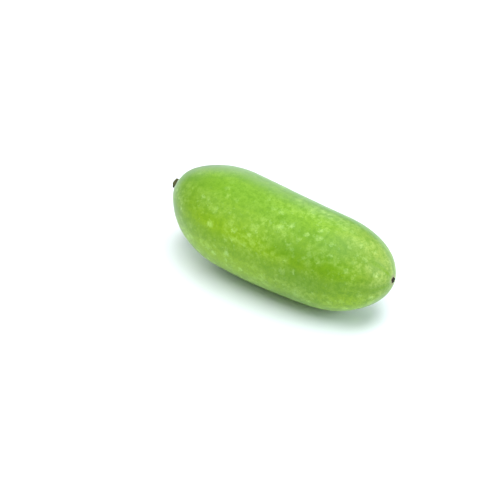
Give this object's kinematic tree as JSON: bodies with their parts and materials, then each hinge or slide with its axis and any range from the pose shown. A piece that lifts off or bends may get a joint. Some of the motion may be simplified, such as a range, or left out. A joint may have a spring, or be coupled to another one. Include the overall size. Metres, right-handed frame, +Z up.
{
  "type": "wax gourd",
  "caption": "Whole young wax gourd lying on its side: smooth oblong light green fruit with pale flecks, a cut stalk stub and a dried blossom scar.",
  "frame": {"origin": "middle of the bounding box's underside, on the surface that the gourd rests on", "axes": "+X along the fruit from the stalk stub to the blossom scar, +Z up, +Y towards the side that the ends bend to"},
  "size_m": [0.2688, 0.106, 0.1063],
  "materials": {
    "skin": "satin waxy skin, light green with pale flecks",
    "dry_stalk": "dry fibrous stalk, olive brown, darker on the cut face",
    "dried_flower": "dry, crumbly, almost black"
  },
  "bodies": {
    "root": {"fruit": "skin", "stalk_stub": "dry_stalk", "blossom_scar": "dried_flower"}
  },
  "joints": []
}
